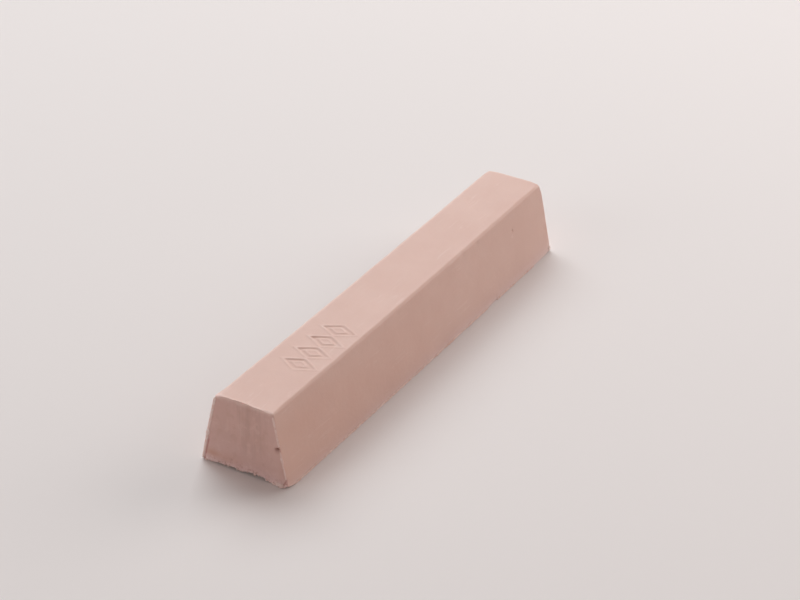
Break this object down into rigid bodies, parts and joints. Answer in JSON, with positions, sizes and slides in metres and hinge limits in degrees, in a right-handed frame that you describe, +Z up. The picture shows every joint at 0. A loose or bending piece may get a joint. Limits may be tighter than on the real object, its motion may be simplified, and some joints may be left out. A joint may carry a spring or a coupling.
{
  "type": "furniture repair wax stick",
  "caption": "Short bar of hard filler wax with a wide foot, a narrow top, knife-cut ends and pressed marks, melted or rubbed into dents and scratches in wood.",
  "frame": {"origin": "middle of the foot that the stick lies on", "axes": "+X along the stick from the near cut end to the far one, +Z up from the foot to the narrow top, -Y to the long side with the feathered foot edge"},
  "size_m": [0.0809, 0.0158, 0.012],
  "materials": {
    "wax": "matt, slightly see-through hard wax, pinkish beige"
  },
  "bodies": {
    "root": {"wax_stick": "wax", "front_feather": "wax", "left_cut_burr": "wax", "right_cut_burr": "wax", "foot_crumbs": "wax", "toe_smear": "wax", "far_corner_crumb": "wax"}
  },
  "joints": []
}
